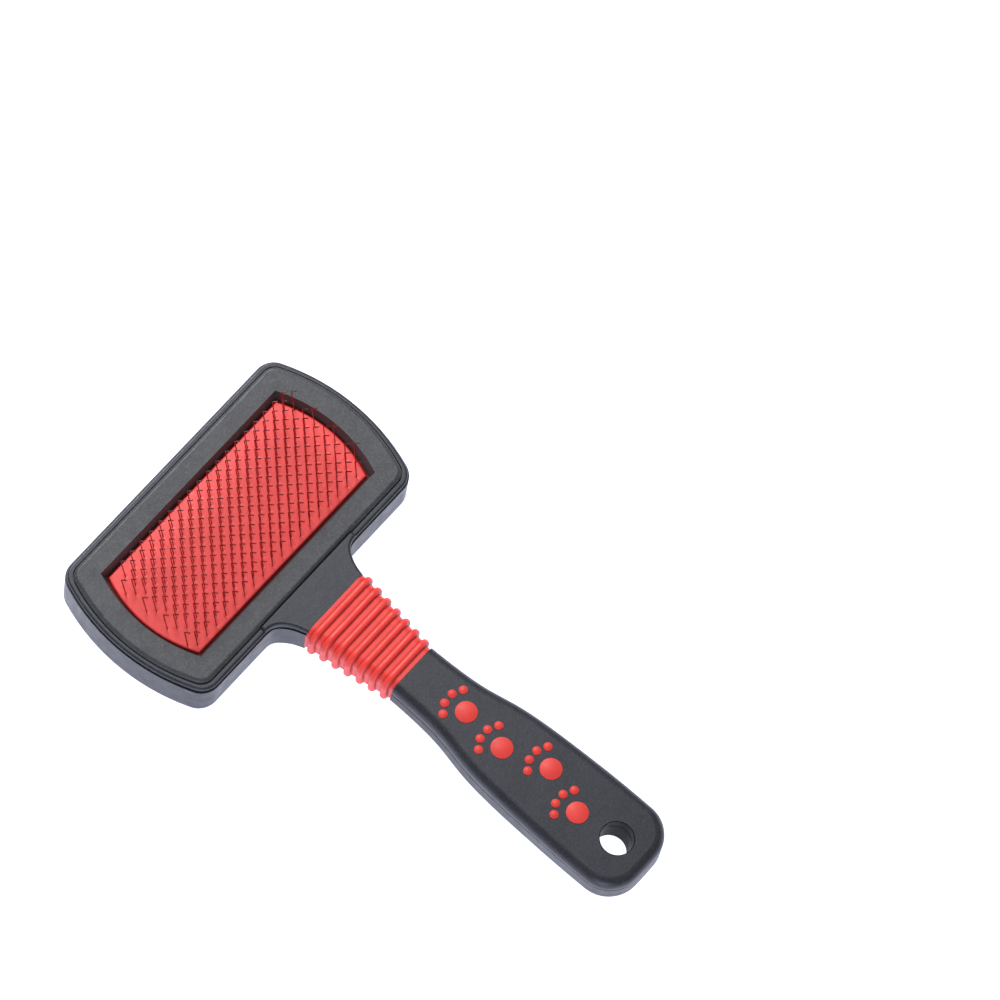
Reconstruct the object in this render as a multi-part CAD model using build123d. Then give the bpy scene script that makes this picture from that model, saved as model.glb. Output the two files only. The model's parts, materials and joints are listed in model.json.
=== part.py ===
"""Slicker brush: a black two-shell body, a ribbed grip sleeve and a floating pad of bent wire pins.

The brush lies on its back with the pins up. X runs along the handle, Y across the head and Z up.
The origin is the middle of the footprint, on the surface that the brush lies on. Sub-parts are
modelled about the centre of the head, with heights measured from the back of the head, and
place() moves each finished part to the origin.
"""
import math
import os

from build123d import *

# ---- driving dimensions, millimetres -------------------------------------------------------
FACE = 16.0                 # height of the bezel's flat face above the back of the head
HEAD_X, HEAD_Y, HEAD_BOW, HEAD_CORNER = 28.1, 51.7, 6.3, 6.5    # half sizes of the head outline
RIM_X, RIM_Y, RIM_BOW, RIM_CORNER = 26.0, 49.9, 5.8, 4.8        # inside of the rim
OPEN_X, OPEN_Y, OPEN_BOW = 19.1, 42.3, 3.9                      # opening, at the face
LIP_X, LIP_Y, LIP_BOW = 18.1, 41.3, 3.8                         # opening, at the foot of its wall
FIELD_X, FIELD_Y, FIELD_BOW = 17.3, 40.7, 3.8                   # raised field of the pad
PAD_X, PAD_Y, PAD_BOW = 21.0, 43.6, 4.4                         # pad module outline
HANDLE_END = 154.9          # far end of the handle from the centre of the head
SLEEVE_START, SLEEVE_END = 36.8, 66.3
WALL = 2.0                  # shell thickness
REVEAL = 0.2                # half of the open line between the two shells
RIM_INSET = 0.4             # step from the rear shell's wall in to the rim
RIM_TOP = FACE - 1.2        # top of the rounded rim
RIM_FOOT = FACE - 2.8       # lower edge of the rim, where the rear shell's wall starts
SEAT = FACE - 2.0           # seat that the bezel frame rests on
COLLAR_FOOT = FACE - 3.6    # underside of the collar that carries the seat
LIP_FOOT = FACE - 3.2       # foot of the wall round the opening
PAD_TOP, FLANGE_TOP = FACE - 2.8, FACE - 3.5                    # pad field, and the flange under the lip
PAD_THICK, PLY_THICK = 2.3, 0.8
CARD_THICK = 1.3            # stiff card behind the staple crowns
FLOOR_THICK = 2.2           # back wall of the head
WIRE_R = 0.17               # pin wire radius
HOLE_X, HOLE_R, HOLE_TILT = 143.3, 5.0, 5.5                     # hanging hole

MIDDLE_X = (HANDLE_END - HEAD_X) / 2                            # middle of the whole length
PLY_TOP = PAD_TOP - PAD_THICK
CROWN_LINE = PLY_TOP - PLY_THICK - 0.55                         # centre line of the staple crowns
CARD_TOP = CROWN_LINE - WIRE_R - 0.1
FOAM_TOP = CARD_TOP - CARD_THICK

# half widths of the handle along its length: (x, y at the face, y at the back)
HANDLE_SIDE = [
    (66.3, 8.8, 9.9), (77.0, 9.1, 10.2), (86.0, 10.0, 11.0), (95.0, 11.9, 12.6),
    (106.0, 13.4, 13.6), (122.0, 14.5, 13.9), (142.0, 15.0, 14.1),
]
# underside of the brush from the back of the head to the end of the handle, (x, z)
UNDERSIDE = [(21.0, 0.0), (29.0, 0.9), (37.2, 3.2), (52.0, 4.2), (77.0, 3.7), (95.0, 2.6), (120.0, 0.7), (145.0, 0.0),
             (175.0, 1.5)]
# paw prints: centre of the large pad on the handle's upper face, (x, y)
PAWS = [(86.6, -0.1), (101.2, -1.5), (115.8, 3.15), (129.9, -1.8)]
PAW_PAD_R, PAW_TOE_R, PAW_RING = 3.3, 1.33, 6.77
PAW_TOE_ANGLES = [137.8, 167.6, 198.0, 227.1]

# staples: leg and crown geometry, and their grid over the pad
LEG_LEAN, LEG_RISE = 1.8, 8.85           # knee behind and above the pad surface
TIP_REACH, TIP_RISE = 1.8, 3.0           # tip ahead of and above the knee
ROW_COUNT, ROW_STEP = 8, 3.92            # rows of staples, along X
STAPLE_COUNT, STAPLE_STEP = 18, 4.13     # staples in a row, along Y
CROWN_X, CROWN_Y = 1.94, 2.05            # from one leg of a staple to the other
FIELD_SHIFT = Vector(0.77, 0.65)         # middle of the whole field of staples
FAN_X, FAN_Y = 0.13, 0.055               # outward lean in degrees for each millimetre off centre


# ---- shared shapes -------------------------------------------------------------------------
def top_z(x):
    """Height of the handle's upper face, which falls away gently towards its end."""
    return FACE - 0.3 - max(x - 50.0, 0.0) ** 2 / 4500.0


def bowed(half_x, half_y, bow, corner=0.0):
    """Rectangle with straight sides along Y and ends that bow outwards."""
    side_y = half_y - bow
    outline = [
        Line((-half_x, -side_y), (-half_x, side_y)),
        ThreePointArc((-half_x, side_y), (0, half_y), (half_x, side_y)),
        Line((half_x, side_y), (half_x, -side_y)),
        ThreePointArc((half_x, -side_y), (0, -half_y), (-half_x, -side_y)),
    ]
    face = make_face(outline)
    if corner:
        face = fillet(face.vertices(), corner)
    return face


def prism(sketch, low, high):
    """Sketch on XY pushed up from one height to another."""
    return extrude(Pos(0, 0, low) * sketch, high - low)


def across(outline_xz, half_y=70.0):
    """Closed outline in XZ, given as lines and curves, pushed along Y over the whole width."""
    face = Pos(0, -half_y, 0) * make_face(outline_xz)
    return extrude(face, 2 * half_y, dir=(0, 1, 0))


def rounded_section(x, half_y, low, high, radius):
    """Rounded rectangle that stands across the handle at x."""
    plane = Plane(origin=(x, 0, (low + high) / 2), x_dir=(0, 1, 0), z_dir=(1, 0, 0))
    return plane * RectangleRounded(2 * half_y, high - low, radius)


def place(part):
    """Move a part from the head's centre to the origin of the whole brush."""
    return Pos(-MIDDLE_X, 0, 0) * part


# ---- outer form of the body ----------------------------------------------------------------
def parting(above):
    """Space above or below the line where the two shells meet."""
    shift = REVEAL if above else -REVEAL
    far = 40.0 if above else -20.0
    line = [(-60, RIM_FOOT), (29, RIM_FOOT), (SLEEVE_START, FACE - 2.0)]
    line += [(SLEEVE_START + 1, FACE - 4.6), (SLEEVE_END, FACE - 4.6), (170, FACE - 7.3)]
    edge = [Vector(x, 0, z + shift) for x, z in line]
    corners = edge + [Vector(170, 0, far), Vector(-60, 0, far)]
    return across(Polyline(*corners, close=True).edges())


def underside_cut(inset):
    """Everything above the underside of the neck and handle."""
    points = [Vector(x, 0, z + inset) for x, z in UNDERSIDE]
    curve = Spline(*points)
    corners = [points[-1], Vector(175, 0, 40), Vector(-60, 0, 40), Vector(-60, 0, inset)]
    lines = [Line(a, b) for a, b in zip(corners, corners[1:])]
    return across([curve] + lines + [Line(corners[-1], points[0])])


def handle_plan(inset, z):
    """Outline of the handle at one height, from the grip sleeve to its broad end."""
    side = [Vector(x, back + (front - back) * z / FACE - inset) for x, front, back in HANDLE_SIDE]
    mirror = [Vector(p.X, -p.Y) for p in side]
    end_x, end_y = HANDLE_END - inset, side[-1].Y
    upper = Spline(*side, tangents=[Vector(1, 0), Vector(1, 0)])
    lower = Spline(*mirror, tangents=[Vector(1, 0), Vector(1, 0)])
    tip = ThreePointArc((end_x - 1.0, end_y), (end_x, 0), (end_x - 1.0, -end_y))
    face = make_face([
        upper, Line(side[-1], (end_x - 1.0, end_y)), tip,
        Line((end_x - 1.0, -end_y), mirror[-1]), lower, Line(mirror[0], side[0]),
    ])
    corners = [v for v in face.vertices() if v.X > end_x - 2]
    return Pos(0, 0, z) * fillet(corners, 10.5 - inset)


def handle_top(inset):
    """Everything below the upper face of the handle."""
    xs = [50.0, 105.0, 160.0]
    arc = ThreePointArc(*[Vector(x, 0, top_z(x) - inset) for x in xs])
    a, b = Vector(50, 0, top_z(50) - inset), Vector(160, 0, top_z(160) - inset)
    low = -20.0
    return across([arc, Line(b, (160, 0, low)), Line((160, 0, low), (50, 0, low)), Line((50, 0, low), a)])


def on_plane_x(edge, x):
    """True for an edge that lies in the plane at x."""
    return all(abs(v.X - x) < 1e-3 for v in edge.vertices()) and abs(edge.center().X - x) < 1e-3


def upright(edge):
    """True for an edge that runs more or less along Z."""
    box = edge.bounding_box()
    return box.size.Z > 3 * max(box.size.X, box.size.Y)


def handle_block(inset, top_radius, bottom_radius):
    """Solid form of the handle with its upper and lower edges rounded."""
    block = loft([handle_plan(inset, -10), handle_plan(inset, 30)], ruled=True)
    block = block & handle_top(inset) & underside_cut(inset)
    sides = [e for e in block.edges() if not on_plane_x(e, SLEEVE_END) and not upright(e)]
    block = fillet([e for e in sides if e.center().Z > 9], top_radius)
    sides = [e for e in block.edges() if not on_plane_x(e, SLEEVE_END) and not upright(e)]
    return fillet([e for e in sides if e.bounding_box().max.Z < 5.5], bottom_radius)


def head_plan(inset):
    """Outline of the head."""
    return bowed(HEAD_X - inset, HEAD_Y - inset, HEAD_BOW, HEAD_CORNER - inset)


def neck_plan(inset):
    """Outline of the neck, which runs into the head's side with a hollow curve at each corner."""
    near = HEAD_X - 3.0
    hollow = [Vector(HEAD_X, 20.5), Vector(28.9, 16.6), Vector(31.4, 14.6), Vector(SLEEVE_START, 12.6)]
    side = [p - Vector(0, inset) for p in hollow]
    side[0] = side[0] - Vector(inset, 0)
    back = [Vector(p.X, -p.Y) for p in side]
    return make_face([
        Line((near, side[0].Y), side[0]),
        Spline(*side, tangents=[Vector(0, -1), Vector(1, -0.28)]),
        Line(side[-1], back[-1]),
        Spline(*back, tangents=[Vector(0, 1), Vector(1, 0.28)]),
        Line(back[0], (near, back[0].Y)), Line((near, back[0].Y), (near, side[0].Y)),
    ])


def head_and_neck_plan(inset):
    """Head and neck in one outline."""
    return head_plan(inset) + neck_plan(inset)


def core_block(inset):
    """Straight-tapered core that the grip sleeve covers."""
    start = rounded_section(SLEEVE_START - 1.0, 10.9 - inset, 5.7 + inset, FACE - 2.0 - inset, 2.6 - inset / 2)
    end = rounded_section(SLEEVE_END + 1.0, 7.2 - inset, 5.7 + inset, FACE - 2.3 - inset, 2.6 - inset / 2)
    return loft([start, end])


def hole_axis(radius, low=-10.0, high=30.0):
    """Cylinder along the hanging hole, square to the handle's upper face."""
    frame = Pos(HOLE_X, 0, top_z(HOLE_X)) * Rot(0, HOLE_TILT, 0)
    length = high - low
    return frame * Pos(0, 0, (high + low) / 2 - FACE) * Cylinder(radius, length)


# ---- shells --------------------------------------------------------------------------------
PEG_R, BOSS_R = 1.5, 2.9                 # pegs that join the shells in the neck and handle
PEGS = [(45.0, 0.0), (73.5, 0.0), (91.0, 7.2), (111.0, -8.6), (133.0, 9.6)]
HEAD_PEG_R, HEAD_BOSS_R, HEAD_PEG_X = 1.1, 2.1, 23.9
STAKE_R, STAKE_HEAD_R = 1.0, 1.7         # heat-staked posts of the bezel frame


def tongue(gap):
    """Block inside the neck that ties the front shell's rim to its grip core."""
    front = Pos(33.5, 0, FACE - 3.2) * Box(6.4 + 2 * gap, 12.0 + 2 * gap, 4.4 + 2 * gap)
    back = Pos(38.5, 0, FACE - 4.0) * Box(6.0 + 2 * gap, 12.0 + 2 * gap, 2.8 + 2 * gap)
    return front + back


def mirrored(x, ys):
    """Points at plus and minus x and at plus and minus each y."""
    return [(sx * x, sy * y) for y in ys for sx in (-1, 1) for sy in (-1, 1)]


HEAD_PEGS = mirrored(HEAD_PEG_X, (37.5, 20.5))
STAKES = mirrored(23.6, (29.0, 9.0)) + mirrored(9.0, (46.3,))


def pillar(x, y, radius, low, high):
    """Round post."""
    return Pos(x, y, (low + high) / 2) * Cylinder(radius, high - low)


def rear_shell(outer, inner):
    """Back of the head as a tub, with the lower half of the neck and handle."""
    floor = FLOOR_THICK - 0.5
    tub = prism(head_and_neck_plan(0.0), 0, FACE) & underside_cut(0.0)
    edges = [e for e in tub.edges() if e.bounding_box().max.Z < 3.8 and not runs_across(e)]
    edges = [e for e in edges if not on_plane_x(e, SLEEVE_START)]
    tub = fillet(edges, 0.8)
    hollow = prism(head_plan(WALL), FLOOR_THICK, FACE + 1) + prism(neck_plan(WALL), 5.8, FACE + 1)
    hollow = hollow + prism(head_plan(RIM_INSET + 0.65), COLLAR_FOOT - 0.3, FACE + 1)
    body = tub - hollow + (outer - inner)
    wall = bowed(PAD_X + 2.0, PAD_Y + 2.0, PAD_BOW) - bowed(PAD_X + 0.5, PAD_Y + 0.5, PAD_BOW)
    body = body + prism(wall, floor, FACE - 4.8)
    for x, y in PEGS:
        body = body + (pillar(x, y, BOSS_R, 0, 10.5) & outer)
    for x, y in HEAD_PEGS:
        body = body + pillar(x, y, HEAD_BOSS_R, floor, COLLAR_FOOT - 0.3)
    body = body + (hole_axis(HOLE_R + WALL) & outer)
    body = (body & parting(above=False)) - tongue(0.3)
    for x, y in PEGS:
        body = body - pillar(x, y, PEG_R, 6.5, FACE)
    for x, y in HEAD_PEGS:
        body = body - pillar(x, y, HEAD_PEG_R, COLLAR_FOOT - 4.5, FACE)
    return body - hole_axis(HOLE_R)


def runs_across(edge):
    """True for an edge along Y within the head or neck, where two smooth faces only meet."""
    box = edge.bounding_box()
    return box.size.X < 1e-3 and box.size.Y > 20 and 0 < edge.center().X < HEAD_X - 1


def front_shell(outer, inner, inlays):
    """Rim of the head, top of the neck and upper half of the handle."""
    rim = prism(head_plan(RIM_INSET), RIM_FOOT + REVEAL, RIM_TOP)
    rim = fillet(rim.faces().sort_by(Axis.Z)[-1].edges(), 0.8)
    collar = prism(head_plan(RIM_INSET + 0.8), COLLAR_FOOT, RIM_TOP - 0.8)
    rim = rim + collar - prism(bowed(RIM_X, RIM_Y, RIM_BOW, RIM_CORNER), SEAT, FACE + 1)
    rim = rim - prism(bowed(PAD_X + 0.6, PAD_Y + 0.6, PAD_BOW), 0, FACE)
    neck = prism(neck_plan(RIM_INSET), 0, FACE - 0.3)
    edges = [e for e in neck.faces().sort_by(Axis.Z)[-1].edges() if not runs_across(e)]
    neck = fillet([e for e in edges if not on_plane_x(e, SLEEVE_START)], 0.8)
    neck = neck - prism(neck_plan(WALL), 0, FACE - 0.3 - WALL)
    neck = neck - prism(bowed(RIM_X, RIM_Y, RIM_BOW, RIM_CORNER), SEAT, FACE + 1)
    body = neck + (outer - inner) + (hole_axis(HOLE_R + WALL) & outer)
    body = (body & parting(above=True)) + rim + tongue(0.0)
    for x, y in PEGS:
        body = body + pillar(x, y, PEG_R, 7.0, FACE - 2.0 if x > 60 else FACE - 3.0)
    for x, y in HEAD_PEGS:
        body = body + pillar(x, y, HEAD_PEG_R, COLLAR_FOOT - 4.0, SEAT)
    for x, y in STAKES:
        body = body - pillar(x, y, STAKE_R, 0, FACE)
    for piece in inlays:
        body = body - piece
    return body - hole_axis(HOLE_R)


def bezel_frame():
    """Flat frame round the pad, with a steep-walled opening and heat-staked posts behind."""
    plate = prism(bowed(RIM_X - 0.25, RIM_Y - 0.25, RIM_BOW, RIM_CORNER), SEAT, FACE)
    plate = fillet(plate.faces().sort_by(Axis.Z)[-1].edges(), 1.3)
    plate = plate + prism(bowed(OPEN_X + 0.9, OPEN_Y + 0.9, OPEN_BOW), LIP_FOOT, FACE - 1.0)
    top = Pos(0, 0, FACE) * bowed(OPEN_X, OPEN_Y, OPEN_BOW)
    foot = Pos(0, 0, LIP_FOOT) * bowed(LIP_X, LIP_Y, LIP_BOW)
    plate = plate - loft([foot, top], ruled=True)
    for x, y in STAKES:
        plate = plate + pillar(x, y, STAKE_R, COLLAR_FOOT - 0.9, SEAT)
        plate = plate + pillar(x, y, STAKE_HEAD_R, COLLAR_FOOT - 0.9, COLLAR_FOOT)
    return plate


# ---- pad module ----------------------------------------------------------------------------
def module_layer(top, thickness, inset=0.0):
    """One layer of the pad module."""
    return prism(bowed(PAD_X - inset, PAD_Y - inset, PAD_BOW), top - thickness, top)


def rubber_pad():
    """Rubber pad with a raised field inside the flange that sits under the lip of the bezel frame."""
    field = prism(bowed(FIELD_X, FIELD_Y, FIELD_BOW), FLANGE_TOP - 0.5, PAD_TOP)
    return module_layer(FLANGE_TOP, FLANGE_TOP - PLY_TOP) + field


def staple():
    """One U-shaped staple of two bent pins, with its first leg's foot at the origin."""
    down = PAD_TOP - CROWN_LINE
    lean = LEG_LEAN / LEG_RISE
    base = Vector(down * lean, 0, -down)
    knee = Vector(-LEG_LEAN, 0, LEG_RISE)
    tip = knee + Vector(TIP_REACH, 0, TIP_RISE)
    step = Vector(CROWN_X, CROWN_Y, 0)
    path = FilletPolyline(tip, knee, base, base + step, knee + step, tip + step, radius=0.45)
    section = Plane(origin=tip, z_dir=path % 0) * Circle(WIRE_R)
    return sweep(section, path=path)


def staple_places(row):
    """Places of the staples of a row. Every other row sits one step further along, and all fan out."""
    x = FIELD_SHIFT.X + (row - (ROW_COUNT - 1) / 2) * ROW_STEP - CROWN_X / 2
    stagger = STAPLE_STEP / 2 if row % 2 == 0 else -STAPLE_STEP / 2
    first_y = FIELD_SHIFT.Y + stagger - (STAPLE_COUNT - 1) / 2 * STAPLE_STEP - CROWN_Y / 2
    ys = [first_y + n * STAPLE_STEP for n in range(STAPLE_COUNT)]
    return [Pos(x, y, PAD_TOP) * Rot(-FAN_Y * y, FAN_X * x, 0) for y in ys]


def leg_holes(rows):
    """Slanted cylinders where the legs pass through the pad and its ply."""
    reach = 8.0
    lean = math.degrees(math.atan2(LEG_LEAN, LEG_RISE))
    leg = Rot(0, -lean, 0) * Cylinder(WIRE_R, reach)
    second = Pos(CROWN_X, CROWN_Y, 0) * leg
    return [spot * hole for row in rows for spot in staple_places(row) for hole in (leg, second)]


# ---- soft grip and inlays ------------------------------------------------------------------
RIB_COUNT, RIB_STEP, RIB_FIRST, RIB_WIDTH, RIB_PROUD = 7, 4.08, 39.2, 2.2, 1.05


def sleeve_section(x, grow=0.0):
    """Outline of the sleeve at x, or a larger one parallel to it."""
    part = (x - SLEEVE_START) / (SLEEVE_END - SLEEVE_START)
    half_y = 12.8 + part * (8.45 - 12.8) + grow
    high = FACE - 0.2 + grow - 0.3 * part
    low = 3.6 - grow
    return rounded_section(x, half_y, low, high, 3.2 + grow)


def grip_sleeve():
    """Soft sleeve with seven round ribs over the core between neck and handle."""
    body = loft([sleeve_section(SLEEVE_START), sleeve_section(SLEEVE_END)])
    for n in range(RIB_COUNT):
        x = RIB_FIRST + n * RIB_STEP
        rib = extrude(sleeve_section(x - RIB_WIDTH / 2, RIB_PROUD), RIB_WIDTH)
        ends = [e for e in rib.edges() if abs(abs(e.center().X - x) - RIB_WIDTH / 2) < 1e-3]
        body = body + fillet(ends, RIB_WIDTH / 2 - 0.1)
    return body - core_block(0.0)


def dome(x, y, radius, rise):
    """Post with a domed head, standing through the shell."""
    post = Pos(x, y, -1.0) * Cylinder(radius, 2.3)
    ball_r = (radius ** 2 + rise ** 2) / (2 * rise)
    cap = (Pos(x, y, 0.15 + rise - ball_r) * Sphere(ball_r)) & (Pos(x, y, 0.15 + rise) * Box(9, 9, 2 * rise))
    return post + cap


def paw_print(x, y):
    """Pieces of an inlay: a web behind the shell, and one large and four small domes that stand on it."""
    slope = math.degrees(math.atan((top_z(x - 1) - top_z(x + 1)) / 2))
    toes = [(PAW_RING * math.cos(math.radians(a)), PAW_RING * math.sin(math.radians(a))) for a in PAW_TOE_ANGLES]
    rings = Edge.make_circle(PAW_PAD_R + 0.8)
    circles = [rings] + [Pos(tx, ty) * Edge.make_circle(PAW_TOE_R + 0.8) for tx, ty in toes]
    web = extrude(make_hull(circles), 1.3)
    pieces = [Pos(0, 0, -3.2) * web, dome(0, 0, PAW_PAD_R, 0.6)]
    pieces += [dome(tx, ty, PAW_TOE_R, 0.45) for tx, ty in toes]
    return [Pos(x, y, top_z(x)) * Rot(0, slope, 0) * piece for piece in pieces]


# ---- build and write -----------------------------------------------------------------------
def main():
    os.makedirs("parts", exist_ok=True)
    outer = core_block(0.0) + handle_block(0.0, 3.0, 4.0)
    reach = prism(Pos(SLEEVE_END, 0) * Rectangle(4.2, 12.0), 7.0, FACE - 4.0)
    inner = core_block(1.6) + handle_block(WALL, 1.5, 2.5) + reach
    paws = [paw_print(x, y) for x, y in PAWS]
    rows = range(ROW_COUNT)
    holes = leg_holes(rows)

    parts = {
        "rear_shell": rear_shell(outer, inner),
        "front_shell": front_shell(outer, inner, [piece for paw in paws for piece in paw]),
        "bezel_frame": bezel_frame(),
        "grip_sleeve": grip_sleeve(),
        "pin_pad": rubber_pad() - holes,
        "pad_ply": module_layer(PLY_TOP, PLY_THICK) - holes,
        "backing_card": module_layer(CARD_TOP, CARD_THICK),
        "foam_cushion": module_layer(FOAM_TOP - 0.05, FOAM_TOP - 0.05 - FLOOR_THICK, inset=0.4),
    }
    for n, paw in enumerate(paws, start=1):
        parts[f"paw_print_{n}"] = paw[0].fuse(*paw[1:])
    wire = staple()
    for row in rows:
        parts[f"pin_row_{row + 1}"] = Compound([spot * wire for spot in staple_places(row)])

    for name, part in parts.items():
        export_step(place(part), f"parts/{name}.step")


main()
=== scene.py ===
"""Looks of the slicker brush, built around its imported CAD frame.

Everything is in metres and in the frame of the CAD model: X along the handle, Y across the head
and Z up out of the pin pad.
"""
import json
import math

import bmesh
import bpy
from mathutils import Matrix, Vector


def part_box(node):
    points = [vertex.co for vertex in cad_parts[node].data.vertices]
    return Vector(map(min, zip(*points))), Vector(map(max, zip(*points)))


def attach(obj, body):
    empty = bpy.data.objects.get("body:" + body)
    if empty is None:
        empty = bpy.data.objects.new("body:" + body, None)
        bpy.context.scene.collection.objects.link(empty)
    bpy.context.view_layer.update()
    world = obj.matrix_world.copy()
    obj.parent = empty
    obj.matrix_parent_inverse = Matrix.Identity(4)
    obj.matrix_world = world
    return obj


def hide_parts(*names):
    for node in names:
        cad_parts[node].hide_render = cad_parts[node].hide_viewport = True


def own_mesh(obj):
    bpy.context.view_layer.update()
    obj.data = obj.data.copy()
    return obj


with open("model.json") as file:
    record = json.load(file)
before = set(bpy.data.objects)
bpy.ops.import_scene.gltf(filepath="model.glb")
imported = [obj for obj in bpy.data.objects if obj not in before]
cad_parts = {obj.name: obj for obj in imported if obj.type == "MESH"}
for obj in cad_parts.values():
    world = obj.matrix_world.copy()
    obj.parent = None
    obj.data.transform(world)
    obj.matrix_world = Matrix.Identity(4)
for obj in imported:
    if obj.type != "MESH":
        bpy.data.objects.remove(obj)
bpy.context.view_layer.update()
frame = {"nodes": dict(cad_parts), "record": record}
nodes = frame["nodes"]
MM = 0.001


# ---- camera --------------------------------------------------------------------------------
AZIMUTH, ELEVATION, ROLL = 28.63, 67.63, 12.51      # degrees
DISTANCE, LENS, SENSOR = 2.4246, 301.5, 36.0        # metres from the aim point, and millimetres
AIM = Vector((-11.80, 56.2, 16.0)) * MM             # what the middle of the picture shows


def make_camera():
    """Long lens, looking down on the brush from beyond the corner of its head."""
    azimuth, elevation = math.radians(AZIMUTH), math.radians(ELEVATION)
    level = math.cos(elevation)
    back = Vector((math.sin(azimuth) * level, -math.cos(azimuth) * level, math.sin(elevation)))
    data = bpy.data.cameras.new("camera")
    data.lens, data.sensor_width = LENS, SENSOR
    data.clip_start, data.clip_end = 0.05, 50.0
    camera = bpy.data.objects.new("camera", data)
    turn = (-back).to_track_quat("-Z", "Y").to_matrix().to_4x4()
    roll = Matrix.Rotation(math.radians(ROLL), 4, "Z")
    camera.matrix_world = Matrix.Translation(AIM + back * DISTANCE) @ turn @ roll
    bpy.context.scene.collection.objects.link(camera)
    bpy.context.scene.camera = camera


# ---- floor and light -----------------------------------------------------------------------
FLOOR_HALF = 6.0                # half side of the light table, metres
TABLE, TABLE_GLOW, TABLE_STRENGTH = (0.35, 0.35, 0.35, 1), (0.80, 0.83, 1.0, 1), 1.4
SKY, SKY_STRENGTH = (0.97, 0.98, 1.0, 1), 0.36
# soft boxes: name, place and side in metres, power in watts, colour
SOFT_BOXES = [
    ("key", (-1.00, 0.62, 1.35), 0.65, 26.0, (1, 1, 1)),
    ("top", (-0.30, 0.3, 2.3), 0.8, 4.5, (1, 1, 1)),
    ("fill", (0.9, -1.55, 0.30), 1.0, 14.0, (0.74, 0.78, 1.0)),
]


def make_floor():
    """Wide light table under the brush, bright enough to look white."""
    mesh = bpy.data.meshes.new("floor")
    corners = [(x * FLOOR_HALF, y * FLOOR_HALF, 0) for x, y in ((-1, -1), (1, -1), (1, 1), (-1, 1))]
    mesh.from_pydata(corners, [], [(0, 1, 2, 3)])
    floor = bpy.data.objects.new("floor", mesh)
    bpy.context.scene.collection.objects.link(floor)
    m = Nodes("light_table")
    m.shader({"Base Color": TABLE, "Roughness": 0.9, "Specular IOR Level": 0.05})
    m.shader({"Emission Color": TABLE_GLOW, "Emission Strength": TABLE_STRENGTH})
    mesh.materials.append(m.material)


def area_light(name, place, size, power, colour):
    """Square soft light that faces the middle of the brush."""
    data = bpy.data.lights.new(name, "AREA")
    data.shape, data.size, data.energy, data.color = "SQUARE", size, power, colour
    light = bpy.data.objects.new(name, data)
    light.location = place
    light.rotation_mode = "QUATERNION"
    light.rotation_quaternion = (-Vector(place)).to_track_quat("-Z", "Y")
    bpy.context.scene.collection.objects.link(light)


def make_light():
    """Pale surroundings with three soft boxes."""
    world = bpy.data.worlds.new("studio")
    bpy.context.scene.world = world
    world.use_nodes = True
    background = world.node_tree.nodes["Background"]
    background.inputs["Color"].default_value = SKY
    background.inputs["Strength"].default_value = SKY_STRENGTH
    for box in SOFT_BOXES:
        area_light(*box)
    bpy.context.scene.view_settings.view_transform = "Standard"


# ---- procedural materials ------------------------------------------------------------------
SOFT_STEP = 0.1 * MM            # half width of the step between two tones


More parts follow.
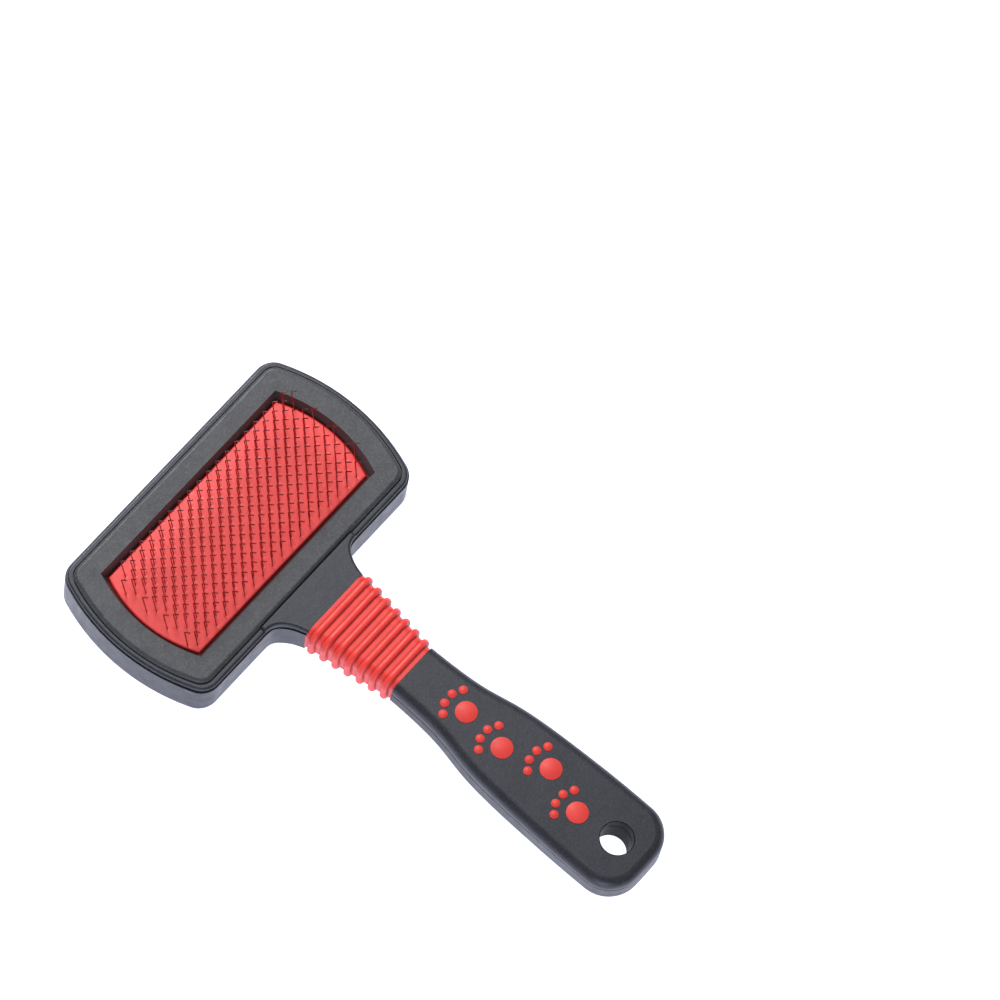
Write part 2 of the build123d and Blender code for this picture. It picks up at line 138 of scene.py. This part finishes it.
class Nodes:
    """Short way to write a material's node tree."""

    def __init__(self, name):
        self.material = bpy.data.materials.new(name)
        self.material.use_nodes = True
        self.tree = self.material.node_tree
        self.bsdf = self.tree.nodes["Principled BSDF"]
        self.place = None
        self.parts = None

    def shader(self, values):
        """Set sockets of the surface shader."""
        for socket, value in values.items():
            self.bsdf.inputs[socket].default_value = value

    def add(self, kind, values=None, **settings):
        """New node with socket values and settings."""
        node = self.tree.nodes.new(kind)
        for name, value in settings.items():
            setattr(node, name, value)
        for socket, value in (values or {}).items():
            node.inputs[socket].default_value = value
        return node

    def link(self, output, socket):
        self.tree.links.new(output, socket)

    def where(self):
        """Place on the object, in metres."""
        if self.place is None:
            self.place = self.add("ShaderNodeTexCoord").outputs["Object"]
        return self.place

    def noise(self, size_mm, detail=3.0, roughness=0.55):
        """Noise whose blobs are about size_mm across."""
        values = {"Scale": 1000.0 / size_mm, "Detail": detail, "Roughness": roughness}
        node = self.add("ShaderNodeTexNoise", values)
        self.link(self.where(), node.inputs["Vector"])
        return node.outputs["Fac"]

    def cells(self, size_mm):
        """Distance pattern of cells about size_mm across."""
        node = self.add("ShaderNodeTexVoronoi", {"Scale": 1000.0 / size_mm})
        self.link(self.where(), node.inputs["Vector"])
        return node.outputs["Distance"]

    def span(self, value, low, high, start=0.0, end=1.0):
        """Value from start to end turned into low to high."""
        values = {"From Min": start, "From Max": end, "To Min": low, "To Max": high}
        node = self.add("ShaderNodeMapRange", values)
        self.link(value, node.inputs["Value"])
        return node.outputs["Result"]

    def mix(self, share, first, second):
        """Colour between two colours or colour outputs."""
        node = self.add("ShaderNodeMix", data_type="RGBA")
        self.link(share, node.inputs["Factor"])
        for socket, colour in (("A", first), ("B", second)):
            spot = next(i for i in node.inputs if i.name == socket and i.type == "RGBA")
            if isinstance(colour, tuple):
                spot.default_value = colour
            else:
                self.link(colour, spot)
        return next(o for o in node.outputs if o.type == "RGBA")

    def split(self, axis):
        """One coordinate of the place on the object, in metres."""
        if self.parts is None:
            self.parts = self.add("ShaderNodeSeparateXYZ")
            self.link(self.where(), self.parts.inputs["Vector"])
        return self.parts.outputs[axis]

    def calc(self, operation, first, second=0.0):
        """Result of one arithmetic step on an output and a number or another output."""
        node = self.add("ShaderNodeMath", operation=operation)
        self.link(first, node.inputs[0])
        if isinstance(second, float):
            node.inputs[1].default_value = second
        else:
            self.link(second, node.inputs[1])
        return node.outputs[0]

    def under(self, value, limit):
        """One below a limit and zero above it, with a narrow soft step."""
        return self.span(value, 1.0, 0.0, limit - SOFT_STEP, limit + SOFT_STEP)

    def within(self, axis, middle, reach):
        """One where a coordinate lies within reach of a middle, and zero beyond it."""
        away = self.calc("ABSOLUTE", self.calc("SUBTRACT", self.split(axis), middle))
        return self.under(away, reach)

    def bump(self, layers):
        """Bump from (height output, depth in millimetres) pairs, one on top of the other."""
        normal = None
        for height, depth in layers:
            node = self.add("ShaderNodeBump", {"Distance": depth * MM, "Strength": 1.0})
            self.link(height, node.inputs["Height"])
            if normal is not None:
                self.link(normal, node.inputs["Normal"])
            normal = node.outputs["Normal"]
        self.link(normal, self.bsdf.inputs["Normal"])


GRAIN, GRAIN_DEPTH = 0.45, 0.02         # grain of the plastic, mm
GRAIN_LIGHT = 2.6                       # how much lighter the grain's crests are
HOLE_REACH = 5.25 * MM                  # radius that takes in the wall of the hanging hole, which gets painted shade
OPEN_X, OPEN_Y = 20.2 * MM, 43.4 * MM   # half size of the opening in the bezel, and a little more, that bounds the painted light on its wall
RIM_DEPTH = 0.25 * MM                   # how far below the bezel's face its wall, which gets painted light, starts


def moulded_plastic(name, light, dark, roughness, painted_wall_mask, inner, shine):
    """Moulded plastic with a fine grain and uneven gloss, and a tone and shine painted on one marked wall to
    stand for the shade or light that falls there.
    """
    m = Nodes(name)
    m.shader({"IOR": 1.5, "Specular IOR Level": 0.5, "Specular Tint": (0.9, 0.92, 1.0, 1)})
    clouds = m.span(m.noise(9.0, 4.0), 0.0, 1.0, 0.35, 0.65)
    grain = m.noise(GRAIN, 2.0, 0.6)
    tone = m.mix(clouds, (*dark, 1), (*light, 1))
    crest = (*[c * GRAIN_LIGHT for c in light], 1)
    colour = m.mix(m.span(grain, 0.0, 0.6, 0.48, 0.72), tone, crest)
    # painted light and shade: the marked wall takes the painted tone and shine in place of the plastic's colour
    # and gloss
    inside = painted_wall_mask(m)
    m.link(m.mix(inside, colour, (*inner, 1)), m.bsdf.inputs["Base Color"])
    m.link(m.span(inside, 0.5, shine), m.bsdf.inputs["Specular IOR Level"])
    gloss = m.span(m.noise(3.0, 5.0), roughness - 0.05, roughness + 0.06, 0.3, 0.7)
    m.link(gloss, m.bsdf.inputs["Roughness"])
    m.bump([(m.noise(GRAIN * 5, 2.0), GRAIN_DEPTH * 2), (grain, GRAIN_DEPTH)])
    return m.material


def hole_wall_painted_shade(m):
    """One on the wall of the hanging hole, where the shade is painted; the hole leans with the upper face of
    the handle.
    """
    hole = next(mount for mount in frame["record"]["mounts"] if mount["name"] == "hanging_hole")
    (x, _, z), (run, _, rise) = hole["pos_m"], hole["axis"]
    lean = run / rise
    upright = m.calc("SUBTRACT", m.split("X"), m.calc("MULTIPLY", m.split("Z"), lean))
    along = m.calc("SUBTRACT", upright, x - z * lean)
    radius = m.calc("SQRT", m.calc("ADD", m.calc("POWER", along, 2.0), m.calc("POWER", m.split("Y"), 2.0)))
    return m.under(radius, HOLE_REACH)


def opening_wall_painted_light(m):
    """One on the wall round the pad, below the rim of the opening, where the light is painted."""
    low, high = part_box("bezel_frame")
    middle = (low + high) / 2
    inside = m.calc("MULTIPLY", m.within("X", middle.x, OPEN_X), m.within("Y", middle.y, OPEN_Y))
    return m.calc("MULTIPLY", inside, m.under(m.split("Z"), high.z - RIM_DEPTH))


GAP_SHADE_RED = (0.15, 0.01, 0.01, 1)         # painted shade on the rubber in the gap round the pad
# painted shade in the groove beside each rib: colour, strength and half width
GROOVE_SHADE_RED, GROOVE_SHADE_SHARE, GROOVE_SHADE_HALF = (0.30, 0.012, 0.01, 1), 0.75, 0.42 * MM


def elastomer(name, light, dark, roughness, bump_depth, specular=0.45, painted_shade_below=None, ribs=None):
    """Soft coloured rubber with a dusty sheen, and deep red painted shade below a height and in the grooves
    beside ribs, if they are given.
    """
    m = Nodes(name)
    m.shader({"IOR": 1.49, "Specular IOR Level": specular, "Sheen Weight": 0.08, "Sheen Roughness": 0.5})
    blotch = m.span(m.noise(5.0, 4.0), 0.0, 1.0, 0.35, 0.65)
    colour = m.mix(blotch, (*dark, 1), (*light, 1))
    # painted shade: deep red low down, in the gap round the pad
    if painted_shade_below is not None:
        colour = m.mix(m.under(m.split("Z"), painted_shade_below), colour, GAP_SHADE_RED)
    # painted shade: deep red lines in the grooves beside each rib
    if ribs is not None:
        first, step, half = ribs
        away = m.calc("PINGPONG", m.calc("SUBTRACT", m.split("X"), first), step / 2)
        beside = m.calc("ABSOLUTE", m.calc("SUBTRACT", away, half))
        colour = m.mix(m.span(beside, GROOVE_SHADE_SHARE, 0.0, 0.0, GROOVE_SHADE_HALF), colour, GROOVE_SHADE_RED)
    m.link(colour, m.bsdf.inputs["Base Color"])
    gloss = m.span(m.noise(1.6, 4.0), roughness - 0.06, roughness + 0.08, 0.3, 0.7)
    m.link(gloss, m.bsdf.inputs["Roughness"])
    m.bump([(m.noise(1.2, 3.0), bump_depth), (m.noise(0.25, 2.0), bump_depth * 0.4)])
    return m.material


def drawn_wire():
    """Dark drawn steel with faint streaks and a little tarnish, tinted red as a painted reflection of the red
    pad.
    """
    m = Nodes("drawn_steel_wire")
    m.shader({"Metallic": 1.0})
    tarnish = m.span(m.noise(1.4, 3.0), 0.0, 1.0, 0.4, 0.7)
    # both tones are tinted red as a painted reflection of the red pad; the noise between them stands for
    # tarnish
    m.link(m.mix(tarnish, (0.40, 0.16, 0.16, 1), (0.26, 0.085, 0.085, 1)), m.bsdf.inputs["Base Color"])
    m.link(m.span(m.noise(0.5, 3.0), 0.14, 0.26, 0.3, 0.7), m.bsdf.inputs["Roughness"])
    m.bump([(m.noise(0.08, 2.0), 0.004)])
    return m.material


def woven_cotton():
    """Unbleached plain weave."""
    m = Nodes("woven_cotton")
    m.shader({"Sheen Weight": 0.2})
    threads = []
    for axis in ("X", "Y"):
        values = {"Scale": 400.0, "Distortion": 0.6, "Detail": 1.0}
        wave = m.add("ShaderNodeTexWave", values, bands_direction=axis)
        m.link(m.where(), wave.inputs["Vector"])
        threads.append(wave.outputs["Fac"])
    both = m.calc("MULTIPLY", *threads)
    m.link(m.mix(both, (0.42, 0.38, 0.3, 1), (0.68, 0.64, 0.55, 1)), m.bsdf.inputs["Base Color"])
    m.link(m.span(m.noise(2.0), 0.8, 0.95), m.bsdf.inputs["Roughness"])
    m.bump([(both, 0.12)])
    return m.material


def pressed_board():
    """Stiff brown board with short fibres."""
    m = Nodes("pressed_board")
    fibres = m.noise(0.8, 6.0, 0.7)
    m.link(m.mix(fibres, (0.33, 0.25, 0.16, 1), (0.5, 0.4, 0.28, 1)), m.bsdf.inputs["Base Color"])
    m.link(m.span(m.noise(3.0), 0.75, 0.9), m.bsdf.inputs["Roughness"])
    m.bump([(fibres, 0.08)])
    return m.material


def cell_foam():
    """Open-cell foam."""
    m = Nodes("cell_foam")
    cells = m.cells(0.9)
    walls = m.span(cells, 0.0, 1.0, 0.1, 0.7)
    m.link(m.mix(walls, (0.3, 0.29, 0.26, 1), (0.72, 0.7, 0.64, 1)), m.bsdf.inputs["Base Color"])
    m.link(m.span(m.noise(2.0), 0.85, 0.95), m.bsdf.inputs["Roughness"])
    m.bump([(cells, 0.3)])
    return m.material


def dress(names, material):
    """Give CAD nodes one material."""
    for name in names:
        mesh = nodes[name].data
        mesh.materials.clear()
        mesh.materials.append(material)
        for face in mesh.polygons:
            face.material_index = 0


# ---- rubber pad ----------------------------------------------------------------------------
PAD_BOW = 4.4 * MM              # how far the flange's ends bow out
FIELD_X, FIELD_Y, FIELD_BOW = 17.3 * MM, 40.7 * MM, 3.8 * MM        # raised field of the pad
FIELD_STEP, FIELD_ROUND = 0.7 * MM, 0.55 * MM                       # its height and rounded edge
PAD_CROWN = 0.4 * MM            # rise of the pad's middle
FINE = [0.0, 0.04, 0.1, 0.18, 0.28, 0.4, 0.56]                      # cell edges inside the rounded edge, mm
PAD_CELLS_X, PAD_CELLS_Y = 104, 230
ROWS, ROW_STEP, STAPLES, STAPLE_STEP = 8, 3.92 * MM, 18, 4.13 * MM
CROWN_X, CROWN_Y = 1.94 * MM, 2.05 * MM
WIRE_FIELD_X, WIRE_FIELD_Y = 0.77 * MM, 0.65 * MM                   # middle of the field of wires
DIMPLE_R, DIMPLE_DEPTH = 0.75 * MM, 0.16 * MM                       # how the skin is drawn in round a wire
BUCKET = 2.0 * MM               # side of the squares that wire feet are looked up in
GAP_SHADE_DEPTH = 0.5 * MM            # how far below its face the pad is painted deep red as shade in the gap


def wire_feet():
    """Where the wires come out of the pad, measured from its middle."""
    feet = []
    for row in range(ROWS):
        x = WIRE_FIELD_X + (row - (ROWS - 1) / 2) * ROW_STEP - CROWN_X / 2
        stagger = STAPLE_STEP / 2 if row % 2 == 0 else -STAPLE_STEP / 2
        first = WIRE_FIELD_Y + stagger - (STAPLES - 1) / 2 * STAPLE_STEP - CROWN_Y / 2
        for n in range(STAPLES):
            y = first + n * STAPLE_STEP
            feet += [(x, y), (x + CROWN_X, y + CROWN_Y)]
    return feet


def cell_lines(field, edge, count):
    """Grid lines over one whole width of the pad, close together at the edge of the raised field."""
    near = [field - f * MM for f in FINE]
    inner = near[-1]
    middle = [inner * (2 * k / count - 1) for k in range(1, count)]
    upper = near[::-1] + [field + 0.02 * MM, (field + edge) / 2, edge]
    return [-x for x in upper[::-1]] + middle + upper


def rubber_pad(material):
    """Softly crowned pad whose skin is drawn in round every wire."""
    low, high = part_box("pin_pad")
    centre, half = (low + high) / 2, (high - low) / 2
    columns = {}
    for x, y in wire_feet():
        columns.setdefault((round(x / BUCKET), round(y / BUCKET)), []).append((x, y))

    def field_reach(x):
        return FIELD_Y - FIELD_BOW * min(1.0, (x / FIELD_X) ** 2)

    def height(x, y):
        inside = min(FIELD_X - abs(x), field_reach(x) - abs(y))
        if inside < 0:
            return high.z - FIELD_STEP
        rise = PAD_CROWN * max(0.0, 1 - (x / FIELD_X) ** 2) * max(0.0, 1 - (y / FIELD_Y) ** 2)
        if inside < FIELD_ROUND:
            rise -= FIELD_ROUND - math.sqrt(FIELD_ROUND ** 2 - (FIELD_ROUND - inside) ** 2)
        cell = (round(x / BUCKET), round(y / BUCKET))
        for dx in (-1, 0, 1):
            for dy in (-1, 0, 1):
                for fx, fy in columns.get((cell[0] + dx, cell[1] + dy), ()):
                    near = 1 - ((x - fx) ** 2 + (y - fy) ** 2) / DIMPLE_R ** 2
                    if near > 0:
                        rise -= DIMPLE_DEPTH * near * near
        return high.z + rise

    made = bmesh.new()
    grid = []
    for x in cell_lines(FIELD_X, half.x, PAD_CELLS_X):
        edge = half.y - PAD_BOW * (x / half.x) ** 2
        ys = cell_lines(field_reach(x), edge, PAD_CELLS_Y)
        grid.append([made.verts.new((centre.x + x, centre.y + y, height(x, y))) for y in ys])
    for left, right in zip(grid, grid[1:]):
        for j in range(len(left) - 1):
            made.faces.new((left[j], right[j], right[j + 1], left[j + 1]))
    ring = [line[0] for line in grid] + grid[-1][1:] + [line[-1] for line in grid[-2::-1]] + grid[0][-2:0:-1]
    foot = [made.verts.new((v.co.x, v.co.y, low.z)) for v in ring]
    for n in range(len(ring)):
        after = (n + 1) % len(ring)
        made.faces.new((ring[after], ring[n], foot[n], foot[after]))
    made.faces.new(foot[::-1])
    bmesh.ops.recalc_face_normals(made, faces=made.faces)
    return finish_mesh("rubber_pad", made, material, "pad_module", ["pin_pad"])


def finish_mesh(name, made, material, body, replaced):
    """Turn a bmesh into a smooth piece that stands for CAD nodes."""
    mesh = bpy.data.meshes.new(name)
    made.to_mesh(mesh)
    made.free()
    mesh.materials.append(material)
    for face in mesh.polygons:
        face.use_smooth = len(face.vertices) == 4
    piece = bpy.data.objects.new(name, mesh)
    bpy.context.scene.collection.objects.link(piece)
    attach(piece, body)
    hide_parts(*replaced)
    return piece


# ---- foam ----------------------------------------------------------------------------------
FOAM_BOW = 4.4 * MM
FOAM_BULGE = 0.35 * MM          # how far the foam's sides pull in at its faces
FOAM_LEVELS, FOAM_SIDE = 8, 40


def foam_block(material):
    """Foam with sides that bulge between its two glued faces."""
    low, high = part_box("foam_cushion")
    centre, half = (low + high) / 2, (high - low) / 2
    made = bmesh.new()
    rings = []
    for level in range(FOAM_LEVELS + 1):
        t = level / FOAM_LEVELS
        shrink = FOAM_BULGE * (2 * t - 1) ** 2
        ring = []
        for side in range(4):
            for k in range(FOAM_SIDE):
                s = 2 * k / FOAM_SIDE - 1
                if side == 0:
                    point = (s * half.x, -(half.y - FOAM_BOW * s * s))
                elif side == 1:
                    point = (half.x, s * (half.y - FOAM_BOW))
                elif side == 2:
                    point = (-s * half.x, half.y - FOAM_BOW * s * s)
                else:
                    point = (-half.x, -s * (half.y - FOAM_BOW))
                x = point[0] * (1 - shrink / half.x)
                y = point[1] * (1 - shrink / half.y)
                ring.append(made.verts.new((centre.x + x, centre.y + y, low.z + t * (high.z - low.z))))
        rings.append(ring)
    for under, over in zip(rings, rings[1:]):
        for n in range(len(under)):
            after = (n + 1) % len(under)
            made.faces.new((under[n], under[after], over[after], over[n]))
    made.faces.new(rings[0][::-1])
    made.faces.new(rings[-1])
    bmesh.ops.recalc_face_normals(made, faces=made.faces)
    piece = finish_mesh("foam_block", made, material, "body", ["foam_cushion"])
    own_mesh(piece)
    return piece


# ---- put together --------------------------------------------------------------------------
RIB_START, RIB_STEP, RIB_HALF = 2.4 * MM, 4.08 * MM, 1.2 * MM       # ribs of the grip sleeve
# plastics: nodes, name, light and dark tone, roughness, wall with painted light or shade, its painted tone and
# its shine
PLASTICS = [
    # the hanging hole's wall gets a near-black painted shade and almost no shine
    (["rear_shell", "front_shell"], "grained_black_plastic", (0.021, 0.021, 0.026), (0.014, 0.014, 0.018), 0.38,
     hole_wall_painted_shade, (0.006, 0.006, 0.007), 0.02),
    # the wall of the bezel's opening gets a lighter, bluish grey painted light
    (["bezel_frame"], "bezel_plastic", (0.042, 0.042, 0.043), (0.030, 0.030, 0.031), 0.45,
     opening_wall_painted_light, (0.062, 0.080, 0.084), 0.5),
]
# rubbers: name, light and dark tone, roughness, depth of the bump in millimetres
GRIP_RUBBER = ("red_soft_grip", (0.92, 0.052, 0.038), (0.84, 0.040, 0.031), 0.42, 0.01)
PRINT_RUBBER = ("red_soft_print", (0.80, 0.050, 0.038), (0.73, 0.040, 0.030), 0.52, 0.01)
PAD_RUBBER = ("red_pad_rubber", (0.97, 0.074, 0.070), (0.91, 0.060, 0.058), 0.42, 0.012)


def main():
    """Build the set, dress the CAD nodes and add the soft pieces."""
    make_camera()
    make_floor()
    make_light()
    for names, *look in PLASTICS:
        dress(names, moulded_plastic(*look))
    first_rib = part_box("grip_sleeve")[0].x + RIB_START
    # the grip's ribs place the painted shade in their grooves
    dress(["grip_sleeve"], elastomer(*GRIP_RUBBER, ribs=(first_rib, RIB_STEP, RIB_HALF)))
    dress([n for n in nodes if n.startswith("paw_print_")], elastomer(*PRINT_RUBBER))
    dress([n for n in nodes if n.startswith("pin_row_")], drawn_wire())
    dress(["pad_ply"], woven_cotton())
    dress(["backing_card"], pressed_board())
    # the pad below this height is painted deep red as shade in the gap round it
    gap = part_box("pin_pad")[1].z - GAP_SHADE_DEPTH
    rubber_pad(elastomer(*PAD_RUBBER, specular=0.4, painted_shade_below=gap))
    foam_block(cell_foam())


main()
